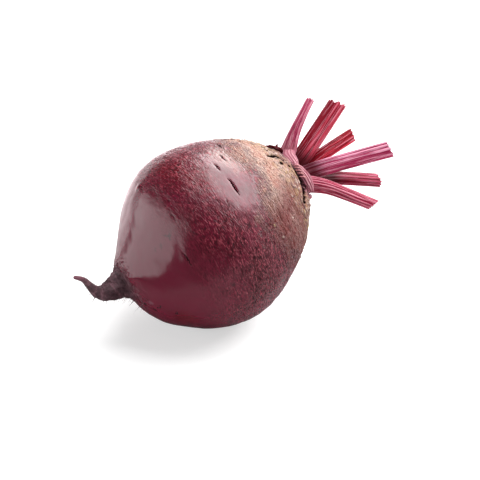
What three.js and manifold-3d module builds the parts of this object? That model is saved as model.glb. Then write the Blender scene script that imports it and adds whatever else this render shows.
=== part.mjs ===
// A whole beetroot as it was picked, lying on its side with the crown a little raised.
// The swollen root runs from the crown to the curled tap root in one piece. Six leaf stalks,
// cut short above the crown, are seated in it.
// Millimetres, +Z up. The origin is the middle of the flat spot that the root rests on,
// and +X runs from the tap root towards the crown.
import * as THREE from "three";
import { mergeVertices } from "three/addons/utils/BufferGeometryUtils.js";
import Module from "manifold-3d";

const wasm = await Module();
wasm.setup();

// Driving dimensions
const rootDiameter = 80;
const crownTilt = THREE.MathUtils.degToRad(17.4);
const rootCentre = new THREE.Vector3(-0.4, -0.1, 38.9);
const stalkGap = 0.3;

// How finely the solids are faceted
const rootSides = 50;
const rootRings = 60;
const stalkSides = 32;
const stalkSteps = 10;
const rootletSides = 6;

// The root, from the crown to the tip of the tap root. Each row is one ring across it, for a
// root of the diameter above: how far along, how far to the side and above, and its radius.
const rootShape = [
  { along: 46.7, side: 1.2, above: 1.6, radius: 2.5 },
  { along: 46.7, side: 1.2, above: 1.6, radius: 5.5 },
  { along: 46.5, side: 1.2, above: 1.6, radius: 8.0 },
  { along: 46.0, side: 1.2, above: 1.6, radius: 9.6 },
  { along: 45.1, side: 1.2, above: 1.6, radius: 10.6 },
  { along: 43.8, side: 1.2, above: 1.6, radius: 10.9 },
  { along: 42.6, side: 1.2, above: 1.6, radius: 11.0 },
  { along: 41.9, side: 1.2, above: 1.6, radius: 11.7 },
  { along: 42.3, side: 1.2, above: 1.6, radius: 12.8 },
  { along: 41.9, side: 1.2, above: 1.6, radius: 14.4 },
  { along: 40.4, side: 1.1, above: 1.5, radius: 16.4 },
  { along: 38.0, side: 1.1, above: 1.3, radius: 19.5 },
  { along: 35.1, side: 1.0, above: 1.2, radius: 22.6 },
  { along: 31.7, side: 0.9, above: 1.1, radius: 25.8 },
  { along: 28.2, side: 0.8, above: 1.0, radius: 28.6 },
  { along: 24.4, side: 0.7, above: 0.9, radius: 31.1 },
  { along: 20.4, side: 0.6, above: 0.7, radius: 33.4 },
  { along: 16.2, side: 0.5, above: 0.6, radius: 35.3 },
  { along: 11.8, side: 0.3, above: 0.4, radius: 37.0 },
  { along: 7.2, side: 0.2, above: 0.2, radius: 38.4 },
  { along: 2.5, side: 0.1, above: 0.1, radius: 39.5 },
  { along: -2.3, side: 0, above: 0, radius: 40.0 },
  { along: -7.1, side: 0, above: 0, radius: 39.7 },
  { along: -11.8, side: 0, above: 0, radius: 38.7 },
  { along: -16.2, side: -0.1, above: -0.2, radius: 37.1 },
  { along: -20.4, side: -0.2, above: -0.4, radius: 34.9 },
  { along: -24.3, side: -0.3, above: -0.8, radius: 32.3 },
  { along: -28.0, side: -0.4, above: -1.3, radius: 29.1 },
  { along: -31.6, side: -0.6, above: -1.9, radius: 25.6 },
  { along: -35.1, side: -0.7, above: -2.4, radius: 22.0 },
  { along: -38.1, side: -0.7, above: -2.5, radius: 18.7 },
  { along: -40.2, side: -0.5, above: -2.0, radius: 16.0 },
  { along: -42.0, side: 0.0, above: -1.1, radius: 13.2 },
  { along: -43.3, side: 0.8, above: 0.2, radius: 10.1 },
  { along: -44.4, side: 1.4, above: 1.2, radius: 7.7 },
  { along: -46.0, side: 1.8, above: 1.9, radius: 5.8 },
  { along: -48.2, side: 1.8, above: 2.0, radius: 5.1 },
  { along: -50.6, side: 1.7, above: 2.0, radius: 4.5 },
  { along: -53.2, side: 1.7, above: 2.6, radius: 3.8 },
  { along: -55.4, side: 2.6, above: 3.6, radius: 2.9 },
  { along: -56.8, side: 3.9, above: 5.8, radius: 2.0 },
  { along: -57.4, side: 5.4, above: 8.0, radius: 1.55 },
  { along: -58.1, side: 6.7, above: 10.2, radius: 1.2 },
  { along: -59.6, side: 7.9, above: 11.6, radius: 0.95 },
  { along: -61.2, side: 8.9, above: 12.6, radius: 0.75 },
];
const crownStart = new THREE.Vector3(46.7, 1.2, 1.6);
const tapTip = new THREE.Vector3(-61.8, 9.3, 13.0);

// The tap root's rings turn to follow it where it is thinner than this.
const tapTurnsFrom = 6.4;
const tapTurnsTo = 4.2;

// Knobs left by side roots: place along and turn round the root, and their size and height.
const knobs = [
  { along: -45.5, turn: 4.1, spread: 1.9, height: 1.0 },
  { along: -47.5, turn: 3.1, spread: 1.6, height: 0.9 },
  { along: -50.5, turn: 5.3, spread: 1.5, height: 0.7 },
  { along: -42.5, turn: 5.6, spread: 1.7, height: 0.7 },
];

// Side roots: where each leaves the tap root, which way it points, and its size.
const rootlets = [
  { along: -55.4, turn: 3.7, length: 2.4, radius: 0.5, bend: 1.4 },
  { along: -53.2, turn: 3.1, length: 1.5, radius: 0.6, bend: 0.6 },
  { along: -50.6, turn: 3.9, length: 1.4, radius: 0.6, bend: 0.4 },
];

// Stubs of older leaves round the crown: turn and reach from the crown's middle, how far
// along, and their length, breadth and thickness.
const leafStubs = [
  { turn: 0.66, reach: 13.4, along: 42.8, length: 2.8, breadth: 4.4, thickness: 2.2 },
  { turn: 0.12, reach: 10.6, along: 44.6, length: 2.0, breadth: 2.6, thickness: 1.4 },
  { turn: 1.9, reach: 11.6, along: 43.2, length: 2.4, breadth: 3.0, thickness: 1.6 },
  { turn: 3.1, reach: 11.0, along: 43.8, length: 2.2, breadth: 3.6, thickness: 1.5 },
  { turn: 4.05, reach: 11.0, along: 44.2, length: 2.0, breadth: 2.4, thickness: 1.5 },
  { turn: 5.5, reach: 11.2, along: 43.4, length: 1.8, breadth: 3.2, thickness: 1.4 },
];

// Leaf stalks, in the crown's own frame: x outwards along the root, y to the side, z above.
// Each path starts inside the crown. Width lies across a stalk, depth from its ribbed back,
// which faces the way given, to the channel on its inner side.
const crownSeat = new THREE.Vector3(44, 1.2, 1.6);
const stalks = [
  {
    name: "stalk_upper_thin",
    path: [
      [-2.5, 3.2, 5.8],
      [0.8, 3.8, 7.3],
      [4.2, 4.4, 9.8],
      [7.2, 4.8, 13.1],
      [10.9, 5.2, 16.7],
      [16.4, 6.0, 20.8],
      [22.4, 7.6, 24.0],
    ],
    facing: [-0.3, 1], width: 3.3, depth: 3.2, flare: 0.75, taper: 0.9, ribs: 8, cut: [0.2, 0.1],
  },
  {
    name: "stalk_broad",
    path: [
      [-2.5, 0.9, 2.6],
      [2.0, 1.0, 3.3],
      [7.6, 1.3, 4.8],
      [18.8, 3.9, 8.6],
      [35.0, 8.0, 14.0],
    ],
    facing: [-0.45, 0.9], width: 7.1, depth: 4.9, flare: -0.05, taper: 0.98, ribs: 9, cut: [0.15, -0.1],
  },
  {
    name: "stalk_back",
    path: [
      [-2.5, 3.6, -1.8],
      [3.0, 3.1, -1.7],
      [9.9, 1.9, -1.4],
      [18.5, 2.0, -0.7],
      [36.2, 3.9, -2.1],
    ],
    facing: [0.8, -0.6], width: 5.3, depth: 4.2, flare: -0.05, taper: 1.0, ribs: 8, cut: [0.2, 0.1],
  },
  {
    name: "stalk_long",
    path: [
      [-2.5, -3.2, 1.1],
      [2.0, -3.9, 0.8],
      [11.5, -6.4, 0.0],
      [27.9, -12.4, -1.7],
      [40.1, -18.2, -2.2],
    ],
    facing: [-1, 0.3], width: 6.2, depth: 4.8, flare: 0.0, taper: 1.02, ribs: 9, cut: [0.2, 0.1],
  },
  {
    name: "stalk_lower",
    path: [
      [-2.5, 0.0, -5.2],
      [2.6, -0.6, -5.7],
      [15.8, -3.4, -10.0],
      [26.1, -7.2, -15.1],
      [35.2, -10.8, -20.1],
    ],
    facing: [0.1, -1], width: 5.9, depth: 5.4, flare: 0.0, taper: 1.0, ribs: 8, cut: [-0.15, 0.1],
  },
  {
    name: "stalk_front",
    path: [
      [-2.5, -6.8, -0.5],
      [0.2, -8.2, -1.0],
      [3.4, -10.6, -1.9],
      [7.2, -15.9, -3.3],
      [11.6, -22.6, -6.6],
      [18.2, -30.4, -12.9],
    ],
    facing: [-0.9, 0.45], width: 5.5, depth: 4.6, flare: 0.25, taper: 0.84, ribs: 9, cut: [-0.5, 0.2],
  },
];
const flareReach = 9;
const ribDepth = 0.085;
const channelDepth = 0.34;

const skin = new THREE.MeshStandardMaterial({ color: 0x5e2433, roughness: 0.42, metalness: 0 });
const stalkSkin = new THREE.MeshStandardMaterial({ color: 0xb0405c, roughness: 0.45, metalness: 0 });

const smooth = (from, to, value) => THREE.MathUtils.smoothstep(value, from, to);
const bell = (distance, reach) => Math.exp(-((distance / reach) ** 2));

// One closed surface through rings of equal length, with a point at each end.
function loft(start, rings, end) {
  const sides = rings[0].length;
  const points = [start, ...rings.flat(), end];
  const last = points.length - 1;
  const faces = [];
  for (let i = 0; i < sides; i++) {
    const j = (i + 1) % sides;
    faces.push(0, 1 + i, 1 + j);
    for (let ring = 0; ring < rings.length - 1; ring++) {
      const near = 1 + ring * sides;
      const far = near + sides;
      faces.push(near + i, far + i, far + j, near + i, far + j, near + j);
    }
    const edge = 1 + (rings.length - 1) * sides;
    faces.push(last, edge + j, edge + i);
  }
  return new THREE.BufferGeometry().setFromPoints(points).setIndex(faces);
}

function solidOf(geometry) {
  const merged = mergeVertices(geometry, 1e-4);
  const mesh = new wasm.Mesh({
    numProp: 3,
    vertProperties: new Float32Array(merged.attributes.position.array),
    triVerts: new Uint32Array(merged.index.array),
  });
  return new wasm.Manifold(mesh);
}

function geometryOf(solid) {
  const mesh = solid.getMesh();
  const geometry = new THREE.BufferGeometry();
  geometry.setAttribute("position", new THREE.BufferAttribute(mesh.vertProperties, 3));
  geometry.setIndex(new THREE.BufferAttribute(mesh.triVerts, 1));
  geometry.computeVertexNormals();
  return geometry;
}

// The largest body of a solid, without the scraps that a cut can leave.
function largestBody(solid) {
  return solid.decompose().sort((a, b) => b.volume() - a.volume())[0];
}

// How far the skin stands out from the plain ring, by place on the root.
function relief(along, radius, turn) {
  const share = (2 * radius) / rootDiameter;
  const lobes = 0.5 * Math.sin(2 * (turn - 0.71)) + 0.35 * Math.sin(3 * (turn - 0.71));
  const crownRings = 0.22 * bell(along - 36, 6) * Math.sin(along * 2.4 + Math.sin(3 * turn));
  const neckFolds = bell(along + 50, 6) * (0.3 * Math.sin(5 * turn + 0.5 * along) + 0.2 * Math.sin(2.3 * along));
  const collarLobes = 0.45 * bell(along - 45, 1.6) * Math.cos(6 * turn + 0.6) * smooth(6, 10, radius);
  let height = share * lobes + crownRings + neckFolds + collarLobes;
  for (const knob of knobs) {
    const turnAway = Math.atan2(Math.sin(turn - knob.turn), Math.cos(turn - knob.turn));
    height += knob.height * bell(Math.hypot(along - knob.along, turnAway * radius), knob.spread);
  }
  return height * (along > 0 ? smooth(0, 5, radius) : 1);
}

// The rings of the root: each has a middle, a radius and the directions that it lies in.
const rootScale = rootDiameter / 80;
const rootLine = new THREE.CatmullRomCurve3(
  rootShape.map(({ along, side, above }) => new THREE.Vector3(along, side, above).multiplyScalar(rootScale)),
  false,
  "centripetal",
);
const rootRadii = new THREE.SplineCurve(
  rootShape.map(({ radius }, place) => new THREE.Vector2(place, radius * rootScale)),
);

function ringAt(share) {
  const centre = rootLine.getPoint(share);
  const radius = rootRadii.getPoint(share).y;
  const turned = centre.x < 0 ? smooth(-tapTurnsFrom, -tapTurnsTo, -radius) : 0;
  const tailwards = new THREE.Vector3(-1, 0, 0).lerp(rootLine.getTangent(share), turned).normalize();
  const side = new THREE.Vector3(0, 1, 0).addScaledVector(tailwards, -tailwards.y).normalize();
  const up = new THREE.Vector3().crossVectors(side, tailwards);
  return { centre, radius, tailwards, side, up };
}

function ringPoints({ centre, radius, side, up }) {
  const points = [];
  for (let i = 0; i < rootSides; i++) {
    const turn = 2 * Math.PI * (1 - i / rootSides);
    const reach = radius + relief(centre.x, radius, turn);
    const point = centre.clone().addScaledVector(up, reach * Math.cos(turn));
    points.push(point.addScaledVector(side, reach * Math.sin(turn)));
  }
  return points;
}

function rootletSolid({ along, turn, length, radius, bend }) {
  const row = rootShape.findIndex((ring) => ring.along <= along);
  const { centre, radius: tapRadius, tailwards, side, up } = ringAt(row / (rootShape.length - 1));
  const outward = up.clone().multiplyScalar(Math.cos(turn)).addScaledVector(side, Math.sin(turn));
  const across = new THREE.Vector3().crossVectors(tailwards, outward);
  const at = (share) => {
    const reach = tapRadius * 0.5 + share * (tapRadius * 0.5 + length);
    const drift = bend * share * share + share * 1.2;
    return centre.clone().addScaledVector(outward, reach).addScaledVector(tailwards, drift);
  };
  const rings = [0, 0.35, 0.6, 0.8, 0.95].map((share) => {
    const ring = [];
    const size = radius * (1 - 0.72 * share);
    for (let i = 0; i < rootletSides; i++) {
      const angle = (i / rootletSides) * 2 * Math.PI;
      const point = at(share).addScaledVector(tailwards, size * Math.cos(angle));
      ring.push(point.addScaledVector(across, size * Math.sin(angle)));
    }
    return ring;
  });
  return solidOf(loft(at(-0.05), rings, at(1)));
}

function leafStubSolid({ turn, reach, along, length, breadth, thickness }) {
  const stub = new THREE.IcosahedronGeometry(1, 2);
  stub.scale(length, breadth / 2, thickness / 2);
  stub.rotateX(-turn);
  stub.translate(along, crownStart.y + reach * Math.sin(turn), crownStart.z + reach * Math.cos(turn));
  stub.scale(rootScale, rootScale, rootScale);
  stub.deleteAttribute("normal").deleteAttribute("uv");
  return solidOf(stub);
}

// The place and turn of the root in the part's frame.
const rootPose = new THREE.Matrix4().makeRotationY(-crownTilt).setPosition(rootCentre);

function rootSolid() {
  const rings = [];
  for (let step = 0; step < rootRings; step++) {
    rings.push(ringPoints(ringAt(step / (rootRings - 1))));
  }
  const start = crownStart.clone().multiplyScalar(rootScale);
  const end = tapTip.clone().multiplyScalar(rootScale);
  let solid = solidOf(loft(start, rings, end));
  for (const rootlet of rootlets) solid = solid.add(rootletSolid(rootlet));
  for (const stub of leafStubs) solid = solid.add(leafStubSolid(stub));
  return solid.transform(rootPose.elements);
}

// A box below the resting plane, which leaves the flat spot on the root.
function belowGround() {
  const block = new THREE.BoxGeometry(4 * rootDiameter, 4 * rootDiameter, rootDiameter);
  block.translate(0, 0, -rootDiameter / 2);
  block.deleteAttribute("normal").deleteAttribute("uv");
  return solidOf(block);
}

// A leaf stalk: ribbed and rounded on the outside, with a channel down its inner face.
// grown makes it larger all round, for the seat that it leaves in its neighbours.
function stalkSolid(stalk, grown = 0) {
  const curve = new THREE.CatmullRomCurve3(
    stalk.path.map((point) => new THREE.Vector3(...point)),
    false,
    "centripetal",
  );
  const length = curve.getLength();
  const seat = curve.getPointAt(0);
  const outward = new THREE.Vector3(0, ...stalk.facing).normalize();
  const rings = [];
  let tip = null;
  for (let step = 0; step <= stalkSteps; step++) {
    const share = step / stalkSteps;
    const distance = share * length;
    const along = curve.getTangentAt(share);
    const across = new THREE.Vector3().crossVectors(along, outward).normalize();
    const back = new THREE.Vector3().crossVectors(across, along);
    const taper = THREE.MathUtils.lerp(1, stalk.taper, share);
    const size = taper * (1 + stalk.flare * bell(distance - 3, flareReach));
    const halfWidth = (stalk.width / 2) * size;
    const halfDepth = (stalk.depth / 2) * Math.sqrt(size);
    const centre = curve.getPointAt(share);
    if (step === 0) centre.addScaledVector(along, -grown);
    const ring = [];
    for (let i = 0; i < stalkSides; i++) {
      const angle = (i / stalkSides) * 2 * Math.PI;
      const rib = 1 + ribDepth * Math.cos(stalk.ribs * angle) * smooth(0, 5, distance);
      const inner = Math.max(0, -Math.sin(angle));
      const channel = 1 - channelDepth * inner * inner;
      const x = (halfWidth * rib + grown) * Math.cos(angle);
      const y = (halfDepth * rib * channel + grown) * Math.sin(angle);
      const slope = (stalk.cut[0] * x + stalk.cut[1] * y) * smooth(0.85, 1, share);
      const point = centre.clone().addScaledVector(across, x).addScaledVector(back, y);
      ring.push(point.addScaledVector(along, slope));
    }
    rings.push(ring);
    tip = centre;
  }
  const start = seat.clone().addScaledVector(curve.getTangentAt(0), -grown);
  return solidOf(loft(start, rings, tip));
}

const beetroot = new THREE.Group();
const crown = new THREE.Group();
crown.position.copy(crownSeat).applyMatrix4(rootPose);
crown.rotation.y = -crownTilt;
crown.updateMatrix();
beetroot.add(crown);

let root = rootSolid().subtract(belowGround());
const seats = [];
for (const stalk of stalks) {
  let solid = stalkSolid(stalk);
  for (const seat of seats) solid = solid.subtract(seat);
  const mesh = new THREE.Mesh(geometryOf(largestBody(solid)), stalkSkin);
  mesh.name = stalk.name;
  crown.add(mesh);
  const seat = stalkSolid(stalk, stalkGap);
  seats.push(seat);
  root = root.subtract(seat.transform(crown.matrix.elements));
}

const rootMesh = new THREE.Mesh(geometryOf(largestBody(root)), skin);
rootMesh.name = "root";
beetroot.add(rootMesh);

export default beetroot;
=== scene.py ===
import math
import random

import bpy
from mathutils import Matrix, Vector, kdtree, noise


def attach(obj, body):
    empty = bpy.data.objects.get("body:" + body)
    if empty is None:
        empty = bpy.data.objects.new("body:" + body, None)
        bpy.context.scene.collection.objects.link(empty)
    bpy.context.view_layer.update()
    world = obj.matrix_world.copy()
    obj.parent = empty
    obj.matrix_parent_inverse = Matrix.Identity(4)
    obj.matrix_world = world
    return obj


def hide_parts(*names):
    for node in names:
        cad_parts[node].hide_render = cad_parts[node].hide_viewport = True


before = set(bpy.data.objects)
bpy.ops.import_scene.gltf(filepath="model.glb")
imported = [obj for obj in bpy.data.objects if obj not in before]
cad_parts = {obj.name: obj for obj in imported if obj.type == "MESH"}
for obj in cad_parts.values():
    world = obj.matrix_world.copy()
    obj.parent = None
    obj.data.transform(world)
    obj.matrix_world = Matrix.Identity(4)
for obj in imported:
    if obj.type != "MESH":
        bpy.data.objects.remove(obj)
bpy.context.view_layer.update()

random.seed(7)

# A whole beetroot on its side. Sizes are in millimetres, in the root's own frame: x runs
# outwards along the root to the crown, y to the side and z above. partPose brings them
# into the part's frame, in metres.
beetroot = {
    "centre": (-0.4, -0.1, 38.9),  # middle of the swollen root in the part's frame
    "crownTilt": 17.4,  # degrees that the crown end is raised
    "crownSeat": (44.0, 1.2, 1.6),  # where the leaf stalks start
}
mm = 0.001
partPose = (
    Matrix.Translation(Vector(beetroot["centre"]) * mm)
    @ Matrix.Rotation(-math.radians(beetroot["crownTilt"]), 4, "Y")
    @ Matrix.Scale(mm, 4)
)
crownSeat = Vector(beetroot["crownSeat"])


def bell(distance, reach):
    return math.exp(-((distance / reach) ** 2))


def smooth(low, high, value):
    share = max(0.0, min(1.0, (value - low) / (high - low)))
    return share * share * (3 - 2 * share)


def turnApart(a, b):
    return math.atan2(math.sin(a - b), math.cos(a - b))


def curvePoint(points, share):
    # A smooth curve through the points, at a share of the way from first to last.
    place = share * (len(points) - 1)
    start = max(0, min(int(place), len(points) - 2))
    t = place - start
    ends = [points[max(0, min(len(points) - 1, start + k))] for k in (-1, 0, 1, 2)]
    return [
        0.5 * (2 * q + (r - p) * t + (2 * p - 5 * q + 4 * r - s) * t * t + (3 * q - p - 3 * r + s) * t**3)
        for p, q, r, s in zip(*ends)
    ]


def deselectAll():
    if bpy.context.mode != "OBJECT":
        bpy.ops.object.mode_set(mode="OBJECT")
    bpy.ops.object.select_all(action="DESELECT")


def makeActive(piece):
    deselectAll()
    piece.select_set(True)
    bpy.context.view_layer.objects.active = piece


def faceOutwards(piece):
    makeActive(piece)
    bpy.ops.object.mode_set(mode="EDIT")
    bpy.ops.mesh.select_all(action="SELECT")
    bpy.ops.mesh.normals_make_consistent(inside=False)
    bpy.ops.object.mode_set(mode="OBJECT")


def storeOnPoints(mesh, name, kind, values):
    layer = mesh.attributes.new(name, kind, "POINT")
    if kind == "FLOAT_VECTOR":
        layer.data.foreach_set("vector", [number for value in values for number in value])
    else:
        layer.data.foreach_set("value", values)


def readVectors(mesh, name):
    numbers = [0.0] * (3 * len(mesh.vertices))
    mesh.attributes[name].data.foreach_get("vector", numbers)
    return [Vector(numbers[i:i + 3]) for i in range(0, len(numbers), 3)]


def readNumbers(mesh, name):
    numbers = [0.0] * len(mesh.vertices)
    mesh.attributes[name].data.foreach_get("value", numbers)
    return numbers


def finishPiece(piece, name, material, nodes=()):
    piece.name = name
    piece.data.name = name
    piece.data.materials.clear()
    piece.data.materials.append(material)
    makeActive(piece)
    bpy.ops.object.shade_smooth_by_angle(angle=math.radians(50))
    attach(piece, "root")
    if nodes:
        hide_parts(*nodes)


print("camera and light")
camera = {
    "azimuth": -33.1,  # degrees round the part, 0 looks along +Y
    "elevation": 30.0,
    "lens": 100.0,
    "distance": 0.5669,  # metres from the middle of the swollen root
    "aimRight": 0.01148,  # how far the middle of the picture lies from it
    "aimUp": -0.0034,
}


def makeCamera():
    azimuth, elevation = math.radians(camera["azimuth"]), math.radians(camera["elevation"])
    level = math.cos(elevation)
    back = Vector((math.sin(azimuth) * level, -math.cos(azimuth) * level, math.sin(elevation)))
    right = Vector((math.cos(azimuth), math.sin(azimuth), 0))
    up = back.cross(right)
    aim = Vector(beetroot["centre"]) * mm + right * camera["aimRight"] + up * camera["aimUp"]
    bpy.ops.object.camera_add(location=aim + back * camera["distance"])
    view = bpy.context.object
    view.name = "photoCamera"
    view.rotation_euler = back.to_track_quat("Z", "Y").to_euler()
    view.data.lens = camera["lens"]
    view.data.sensor_width = 36
    bpy.context.scene.camera = view
    return right, up, back


pictureRight, pictureUp, pictureBack = makeCamera()

# Softboxes: where they stand, the way they face away from and the way of their width, all in
# the picture (right, up, towards the camera); distance and size in metres, and power in watts.
studio = {
    "boxes": {
        "overhead": {"towards": (0.497, 0.866, 0.06), "facing": (0.387, 0.917, -0.102),
                     "along": (0.919, -0.374, 0.123), "distance": 1.175, "size": (1.57, 2.1), "power": 73.0},
        "leftWall": {"towards": (-0.898, 0.284, -0.336), "facing": (-0.698, -0.358, 0.62),
                     "along": (0.716, -0.349, 0.604), "distance": 1.548, "size": (2.9, 0.4), "power": 9.3},
        "rearWall": {"towards": (-0.1, 0.62, -0.92), "facing": (-0.1, 0.62, -0.92), "along": (1, 0, 0),
                     "distance": 1.14, "size": (1.5, 0.2), "power": 1.2},
        "rightFill": {"towards": (0.9, 0.15, 0.45), "facing": (0.9, 0.15, 0.45), "along": (0, -0.5, 0.866),
                      "distance": 1.3, "size": (0.7, 0.9), "power": 2.6},
    },
    "surroundings": 0.15,
    "floorColour": (0.5, 0.5, 0.5, 1),
    "floorGlow": 0.55,  # lightens the shadow that the camera sees
    # The floor as the waxy skin mirrors it: in front, and behind. To the left it is left out.
    "floorInGloss": ((0.26, 0.24, 0.245, 1), (0.9, 0.8, 0.82, 1)),
    "brightBehind": (0.03, 0.16),  # metres behind the root over which the mirrored floor gets paler
    "openLeft": (0.12, 0.18),  # metres to the left where the mirrored floor ends
    "floorBounce": (0.8, 0.76, 0.77, 1),  # the floor as it lights the beetroot from below
}


def softbox(name, box):
    towards, facing, along = (
        (pictureRight * right + pictureUp * up + pictureBack * near).normalized()
        for right, up, near in (box["towards"], box["facing"], box["along"])
    )
    widthways = (along - facing * along.dot(facing)).normalized()
    place = Vector(beetroot["centre"]) * mm + towards * box["distance"]
    bpy.ops.object.light_add(type="AREA", location=place)
    light = bpy.context.object
    light.name = name
    light.rotation_euler = Matrix((widthways, facing.cross(widthways), facing)).transposed().to_euler()
    light.data.shape = "RECTANGLE"
    light.data.size, light.data.size_y = box["size"]
    light.data.energy = box["power"]


for boxName, boxSpec in studio["boxes"].items():
    softbox(boxName, boxSpec)


def paint(red, green, blue):
    # A colour as painters' tables give it, 0 to 255, made linear.
    linear = [((c / 255 + 0.055) / 1.055) ** 2.4 if c > 10 else c / 3295 for c in (red, green, blue)]
    return (*linear, 1.0)


def addNode(tree, kind, inputs=None, **settings):
    node = tree.nodes.new(kind)
    for key, value in settings.items():
        setattr(node, key, value)
    for key, value in (inputs or {}).items():
        if isinstance(value, bpy.types.NodeSocket):
            tree.links.new(value, node.inputs[key])
        else:
            node.inputs[key].default_value = value
    return node


def newMaterial(name):
    material = bpy.data.materials.new(name)
    material.use_nodes = True
    tree = material.node_tree
    return material, tree, tree.nodes["Principled BSDF"]


def calc(tree, operation, a, b=0.0, c=0.0, clamp=False):
    return addNode(tree, "ShaderNodeMath", {0: a, 1: b, 2: c}, operation=operation, use_clamp=clamp).outputs[0]


def ramp(tree, value, low, high, toLow=0.0, toHigh=1.0, kind="SMOOTHSTEP"):
    inputs = {"Value": value, "From Min": low, "From Max": high, "To Min": toLow, "To Max": toHigh}
    return addNode(tree, "ShaderNodeMapRange", inputs, interpolation_type=kind).outputs["Result"]


def blendColour(tree, share, under, over, kind="MIX"):
    node = addNode(tree, "ShaderNodeMix", data_type="RGBA", blend_type=kind)
    for socket, value in ((node.inputs[0], share), (node.inputs[6], under), (node.inputs[7], over)):
        if isinstance(value, bpy.types.NodeSocket):
            tree.links.new(value, socket)
        else:
            socket.default_value = value
    return node.outputs[2]


def grain(tree, vector, stretch, scale, detail=2.0, rough=0.5, warp=0.0):
    # Noise on a vector that is stretched first; a high number makes it finer that way.
    stretched = addNode(tree, "ShaderNodeVectorMath", {0: vector, 1: stretch}, operation="MULTIPLY").outputs[0]
    inputs = {"Vector": stretched, "Scale": scale, "Detail": detail, "Roughness": rough, "Distortion": warp}
    return addNode(tree, "ShaderNodeTexNoise", inputs).outputs["Fac"]


def makeStage():
    bpy.ops.mesh.primitive_plane_add(size=8, location=(0, 0, -0.0002))
    floor = bpy.context.object
    floor.name = "studioFloor"
    material, tree, shader = newMaterial("paleFloor")
    shader.inputs["Roughness"].default_value = 0.9
    shader.inputs["Specular IOR Level"].default_value = 0.1
    path = addNode(tree, "ShaderNodeLightPath")
    place = addNode(tree, "ShaderNodeTexCoord").outputs["Object"]
    towardsViewer = Vector((pictureBack.x, pictureBack.y, 0)).normalized()
    rightwards, frontwards = (
        addNode(tree, "ShaderNodeVectorMath", {0: place, 1: way}, operation="DOT_PRODUCT").outputs["Value"]
        for way in (pictureRight, towardsViewer)
    )
    behind = ramp(tree, calc(tree, "MULTIPLY", frontwards, -1.0), *studio["brightBehind"])
    colour = blendColour(tree, behind, *studio["floorInGloss"])
    colour = blendColour(tree, path.outputs["Is Diffuse Ray"], colour, studio["floorBounce"])
    colour = blendColour(tree, path.outputs["Is Camera Ray"], colour, studio["floorColour"])
    tree.links.new(colour, shader.inputs["Base Color"])
    shader.inputs["Emission Color"].default_value = (1, 1, 1, 1)
    glow = ramp(tree, path.outputs["Is Camera Ray"], 0, 1, 0, studio["floorGlow"], "LINEAR")
    tree.links.new(glow, shader.inputs["Emission Strength"])
    leftwards = calc(tree, "SUBTRACT", calc(tree, "MULTIPLY", frontwards, 1.2), rightwards)
    openShare = calc(tree, "MULTIPLY", ramp(tree, leftwards, *studio["openLeft"]), path.outputs["Is Glossy Ray"])
    clear = addNode(tree, "ShaderNodeBsdfTransparent")
    mixed = addNode(tree, "ShaderNodeMixShader", {0: openShare, 1: shader.outputs[0], 2: clear.outputs[0]})
    tree.links.new(mixed.outputs[0], tree.nodes["Material Output"].inputs["Surface"])
    floor.data.materials.append(material)

    world = bpy.data.worlds.new("studioAir")
    world.use_nodes = True
    bpy.context.scene.world = world
    tree = world.node_tree
    back = tree.nodes["Background"]
    back.inputs["Color"].default_value = (1, 1, 1, 1)
    path = addNode(tree, "ShaderNodeLightPath")
    strength = ramp(tree, path.outputs["Is Camera Ray"], 0, 1, studio["surroundings"], 1.0, "LINEAR")
    tree.links.new(strength, back.inputs["Strength"])
    bpy.context.scene.view_settings.view_transform = "Standard"


makeStage()

print("shader groups")


def newGroup(name, inputs, outputs):
    group = bpy.data.node_groups.new(name, "ShaderNodeTree")
    for socketName, kind, value in inputs:
        socket = group.interface.new_socket(name=socketName, in_out="INPUT", socket_type=kind)
        socket.default_value = value
    for socketName, kind in outputs:
        group.interface.new_socket(name=socketName, in_out="OUTPUT", socket_type=kind)
    return group, group.nodes.new("NodeGroupInput"), group.nodes.new("NodeGroupOutput")


def makeMarkGroup():
    # A soft-edged oval mark: 1 inside, 0 outside.
    group, inside, outside = newGroup(
        "ovalMark",
        [
            ("Vector", "NodeSocketVector", (0, 0, 0)),
            ("Place", "NodeSocketVector", (0, 0, 0)),
            ("Turn", "NodeSocketVector", (0, 0, 0)),
            ("Size", "NodeSocketVector", (1, 1, 1)),
            ("Softness", "NodeSocketFloat", 0.5),
        ],
        [("Mask", "NodeSocketFloat")],
    )
    inputs = {"Vector": inside.outputs["Vector"], "Location": inside.outputs["Place"]}
    inputs.update({"Rotation": inside.outputs["Turn"], "Scale": inside.outputs["Size"]})
    local = addNode(group, "ShaderNodeMapping", inputs, vector_type="TEXTURE").outputs[0]
    far = addNode(group, "ShaderNodeVectorMath", {0: local}, operation="LENGTH").outputs["Value"]
    inner = calc(group, "SUBTRACT", 1.0, inside.outputs["Softness"])
    mask = addNode(
        group, "ShaderNodeMapRange",
        {"Value": far, "From Min": inner, "From Max": 1.0, "To Min": 1.0, "To Max": 0.0},
        interpolation_type="SMOOTHSTEP",
    ).outputs["Result"]
    group.links.new(mask, outside.inputs["Mask"])
    return group


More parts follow.
